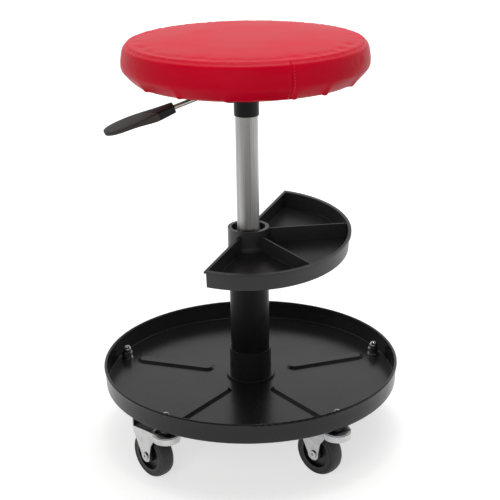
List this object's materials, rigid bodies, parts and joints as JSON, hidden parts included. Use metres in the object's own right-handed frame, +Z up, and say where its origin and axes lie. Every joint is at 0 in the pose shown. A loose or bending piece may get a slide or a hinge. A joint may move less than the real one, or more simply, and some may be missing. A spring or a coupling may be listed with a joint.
{
  "type": "creeper seat",
  "caption": "Round padded stool on a height-adjustable gas lift, with a turning half-round tool tray and a deep round steel pan on swivel castors.",
  "frame": {"origin": "on the floor, on the column's axis", "axes": "+Z up along the column, +X to the right and -Y towards the front, with the lever at the left"},
  "size_m": [0.381, 0.383, 0.5215],
  "materials": {
    "pan_enamel": "gloss black stove enamel on pressed steel",
    "column_paint": "satin black paint",
    "black_nylon": "moulded, satin",
    "bearing_steel": "ground and oiled",
    "zinc_plate": "bright zinc plate",
    "chrome_plate": "polished chrome plate",
    "buffer_rubber": "matt",
    "lever_steel": "bright zinc plate",
    "lever_plastic": "moulded, satin",
    "plywood": "birch plywood, unfinished",
    "seat_foam": "open-cell foam",
    "red_vinyl": "satin vinyl with a fine grain",
    "castor_tyre": "moulded solid tyre, satin",
    "core_plastic": "moulded",
    "tray_plastic": "moulded, satin"
  },
  "bodies": {
    "root": {"base_pan": "pan_enamel", "column_socket": "pan_enamel", "socket_flange": "pan_enamel", "column_tube": "column_paint", "guide_sleeve": "black_nylon", "thrust_lower_race": "bearing_steel", "thrust_balls": "bearing_steel", "castor_studs": "zinc_plate", "castor_race_cups": "zinc_plate", "castor_race_balls": "bearing_steel", "plain_washers": "zinc_plate", "spring_washers": "zinc_plate", "dome_nuts": "zinc_plate"},
    "spindle": {"piston_rod": "bearing_steel", "piston": "bearing_steel", "thrust_upper_race": "bearing_steel", "rubber_buffer": "buffer_rubber", "rod_clip": "bearing_steel"},
    "seat": {"pressure_tube": "chrome_plate", "tube_end_guide": "bearing_steel", "taper_socket": "column_paint", "mechanism_box": "column_paint", "seat_plate": "column_paint", "lever_bracket": "column_paint", "lever_pivot_pin": "bearing_steel", "seat_board": "plywood", "seat_screws": "zinc_plate", "tee_nuts": "zinc_plate", "seat_foam": "seat_foam", "seat_cover": "red_vinyl", "cover_staples": "zinc_plate"},
    "lever": {"lever_rod": "lever_steel", "lever_paddle": "lever_plastic"},
    "valve": {"valve_pin": "bearing_steel"},
    "tray": {"tool_tray": "tray_plastic"},
    "fork_back": {"castor_fork_back": "zinc_plate", "castor_axle_back": "zinc_plate"},
    "wheel_back": {"castor_tyre_back": "castor_tyre", "castor_core_back": "core_plastic"},
    "fork_left": {"castor_fork_left": "zinc_plate", "castor_axle_left": "zinc_plate"},
    "wheel_left": {"castor_tyre_left": "castor_tyre", "castor_core_left": "core_plastic"},
    "fork_front_left": {"castor_fork_front_left": "zinc_plate", "castor_axle_front_left": "zinc_plate"},
    "wheel_front_left": {"castor_tyre_front_left": "castor_tyre", "castor_core_front_left": "core_plastic"},
    "fork_front_right": {"castor_fork_front_right": "zinc_plate", "castor_axle_front_right": "zinc_plate"},
    "wheel_front_right": {"castor_tyre_front_right": "castor_tyre", "castor_core_front_right": "core_plastic"},
    "fork_right": {"castor_fork_right": "zinc_plate", "castor_axle_right": "zinc_plate"},
    "wheel_right": {"castor_tyre_right": "castor_tyre", "castor_core_right": "core_plastic"}
  },
  "joints": [
    {"name": "seat_turn", "type": "hinge", "parent": "root", "child": "spindle", "pos_m": [0, 0, 0.0665], "axis": [0, 0, 1], "continuous": true},
    {"name": "seat_height", "type": "slide", "parent": "spindle", "child": "seat", "axis": [0, 0, 1], "range_m": [-0.11, 0]},
    {"name": "lever_lift", "type": "hinge", "parent": "seat", "child": "lever", "pos_m": [-0.02144, -0.00495, 0.4615], "axis": [-0.225, 0.9744, 0], "range_deg": [0, 6], "stiffness_Nm_per_rad": 3, "springref_deg": -2.86},
    {"name": "valve_press", "type": "slide", "parent": "seat", "child": "valve", "axis": [0, 0, -1], "range_m": [0, 0.0024]},
    {"name": "tool_tray_turn", "type": "hinge", "parent": "root", "child": "tray", "pos_m": [0, 0, 0.265], "axis": [0, 0, 1], "continuous": true},
    {"name": "castor_swivel_back", "type": "hinge", "parent": "root", "child": "fork_back", "pos_m": [0, 0.1755, 0.065], "axis": [0, 0, 1], "continuous": true},
    {"name": "wheel_roll_back", "type": "hinge", "parent": "fork_back", "child": "wheel_back", "pos_m": [-0.00924, 0.15013, 0.03], "axis": [0.9397, -0.342, 0], "continuous": true},
    {"name": "castor_swivel_left", "type": "hinge", "parent": "root", "child": "fork_left", "pos_m": [-0.16691, 0.05423, 0.065], "axis": [0, 0, 1], "continuous": true},
    {"name": "wheel_roll_left", "type": "hinge", "parent": "fork_left", "child": "wheel_left", "pos_m": [-0.15992, 0.08031, 0.03], "axis": [-0.9659, 0.2588, 0], "continuous": true},
    {"name": "castor_swivel_front_left", "type": "hinge", "parent": "root", "child": "fork_front_left", "pos_m": [-0.10316, -0.14198, 0.065], "axis": [0, 0, 1], "continuous": true},
    {"name": "wheel_roll_front_left", "type": "hinge", "parent": "fork_front_left", "child": "wheel_front_left", "pos_m": [-0.12122, -0.12192, 0.03], "axis": [-0.7431, -0.6691, 0], "continuous": true},
    {"name": "castor_swivel_front_right", "type": "hinge", "parent": "root", "child": "fork_front_right", "pos_m": [0.10316, -0.14198, 0.065], "axis": [0, 0, 1], "continuous": true},
    {"name": "wheel_roll_front_right", "type": "hinge", "parent": "fork_front_right", "child": "wheel_front_right", "pos_m": [0.08325, -0.12374, 0.03], "axis": [-0.6756, -0.7373, 0], "continuous": true},
    {"name": "castor_swivel_right", "type": "hinge", "parent": "root", "child": "fork_right", "pos_m": [0.16691, 0.05423, 0.065], "axis": [0, 0, 1], "continuous": true},
    {"name": "wheel_roll_right", "type": "hinge", "parent": "fork_right", "child": "wheel_right", "pos_m": [0.14685, 0.0723, 0.03], "axis": [-0.6691, -0.7431, 0], "continuous": true}
  ],
  "couplings": [
    {"joint": "valve_press", "follows": "lever_lift", "m_per_rad": 0.022}
  ]
}
